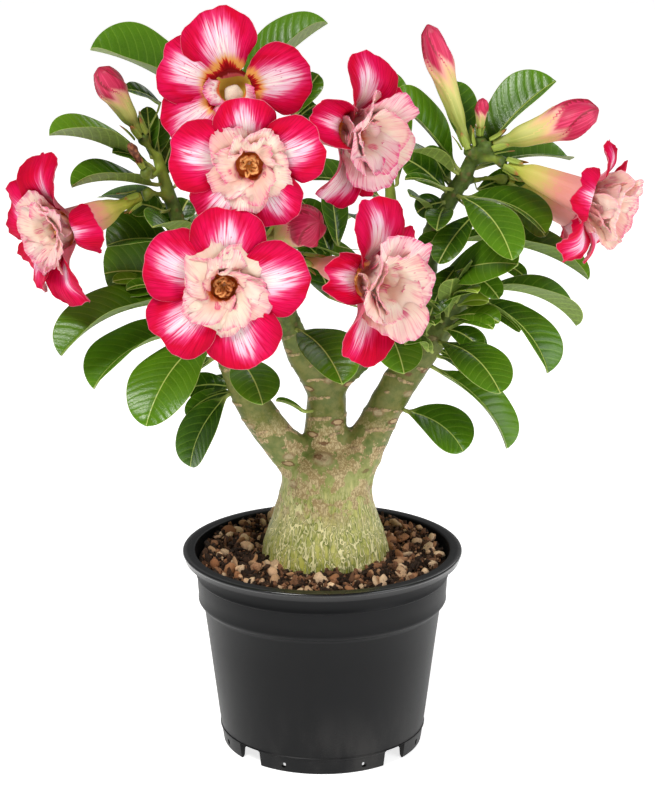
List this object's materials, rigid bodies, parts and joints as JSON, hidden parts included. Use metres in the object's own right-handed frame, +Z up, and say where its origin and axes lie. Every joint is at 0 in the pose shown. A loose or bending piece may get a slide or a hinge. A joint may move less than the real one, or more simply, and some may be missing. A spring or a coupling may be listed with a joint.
{
  "type": "potted desert rose adenium",
  "caption": "Potted desert rose with a swollen caudex, branching stems, glossy leaves, long buds and open double flowers, in a round black nursery pot.",
  "frame": {"origin": "middle of the pot's foot ring, on the surface that the pot stands on", "axes": "+Z up along the pot's axis, -Y towards the side that most of the flowers face, +X to the right seen from that side"},
  "size_m": [0.2878, 0.1701, 0.347],
  "materials": {
    "pot": "satin black moulded plastic",
    "substrate": "dark bark and peat mix with tan pumice stones",
    "woody_plant": "grey-green bark with fine cream cracks and tan leaf scars",
    "petals": "soft crimson petals with white to cream centres",
    "bud": "crimson furled petals on a yellow-green tube",
    "leaf": "glossy dark green with a pale midrib"
  },
  "bodies": {
    "root": {"bud_left_large": "bud", "bud_left_small": "bud", "bud_middle_low": "bud", "bud_right_long": "bud", "bud_right_small": "bud", "bud_right_tall": "bud", "flower_far_left": "petals", "flower_far_right": "petals", "flower_front": "petals", "flower_hidden_right": "petals", "flower_lower_right": "petals", "flower_middle": "petals", "flower_top": "petals", "flower_upper_right": "petals", "leaf_crown_back": "leaf", "leaf_crown_left": "leaf", "leaf_crown_right": "leaf", "leaf_inner_back": "leaf", "leaf_inner_front": "leaf", "leaf_inner_left": "leaf", "leaf_inner_low": "leaf", "leaf_inner_top": "leaf", "leaf_left_back": "leaf", "leaf_left_behind": "leaf", "leaf_left_broad": "leaf", "leaf_left_curled": "leaf", "leaf_left_front": "leaf", "leaf_left_hanging": "leaf", "leaf_left_inner": "leaf", "leaf_left_long": "leaf", "leaf_left_low": "leaf", "leaf_left_mid": "leaf", "leaf_left_top": "leaf", "leaf_left_under": "leaf", "leaf_left_upright": "leaf", "leaf_left_wide": "leaf", "leaf_middle_front": "leaf", "leaf_middle_right": "leaf", "leaf_right_back": "leaf", "leaf_right_face": "leaf", "leaf_right_low": "leaf", "leaf_right_narrow": "leaf", "leaf_right_side": "leaf", "leaf_right_top": "leaf", "leaf_upper_back": "leaf", "leaf_upper_big": "leaf", "leaf_upper_dark": "leaf", "leaf_upper_face": "leaf", "leaf_upper_inward": "leaf", "leaf_upper_left": "leaf", "leaf_upper_left_low": "leaf", "leaf_upper_long": "leaf", "leaf_upper_pale": "leaf", "leaf_upper_right": "leaf", "leaf_upper_side": "leaf", "leaf_upper_tall": "leaf", "leaf_upper_upright": "leaf", "pot": "pot", "substrate": "substrate", "woody_plant": "woody_plant"}
  },
  "joints": []
}
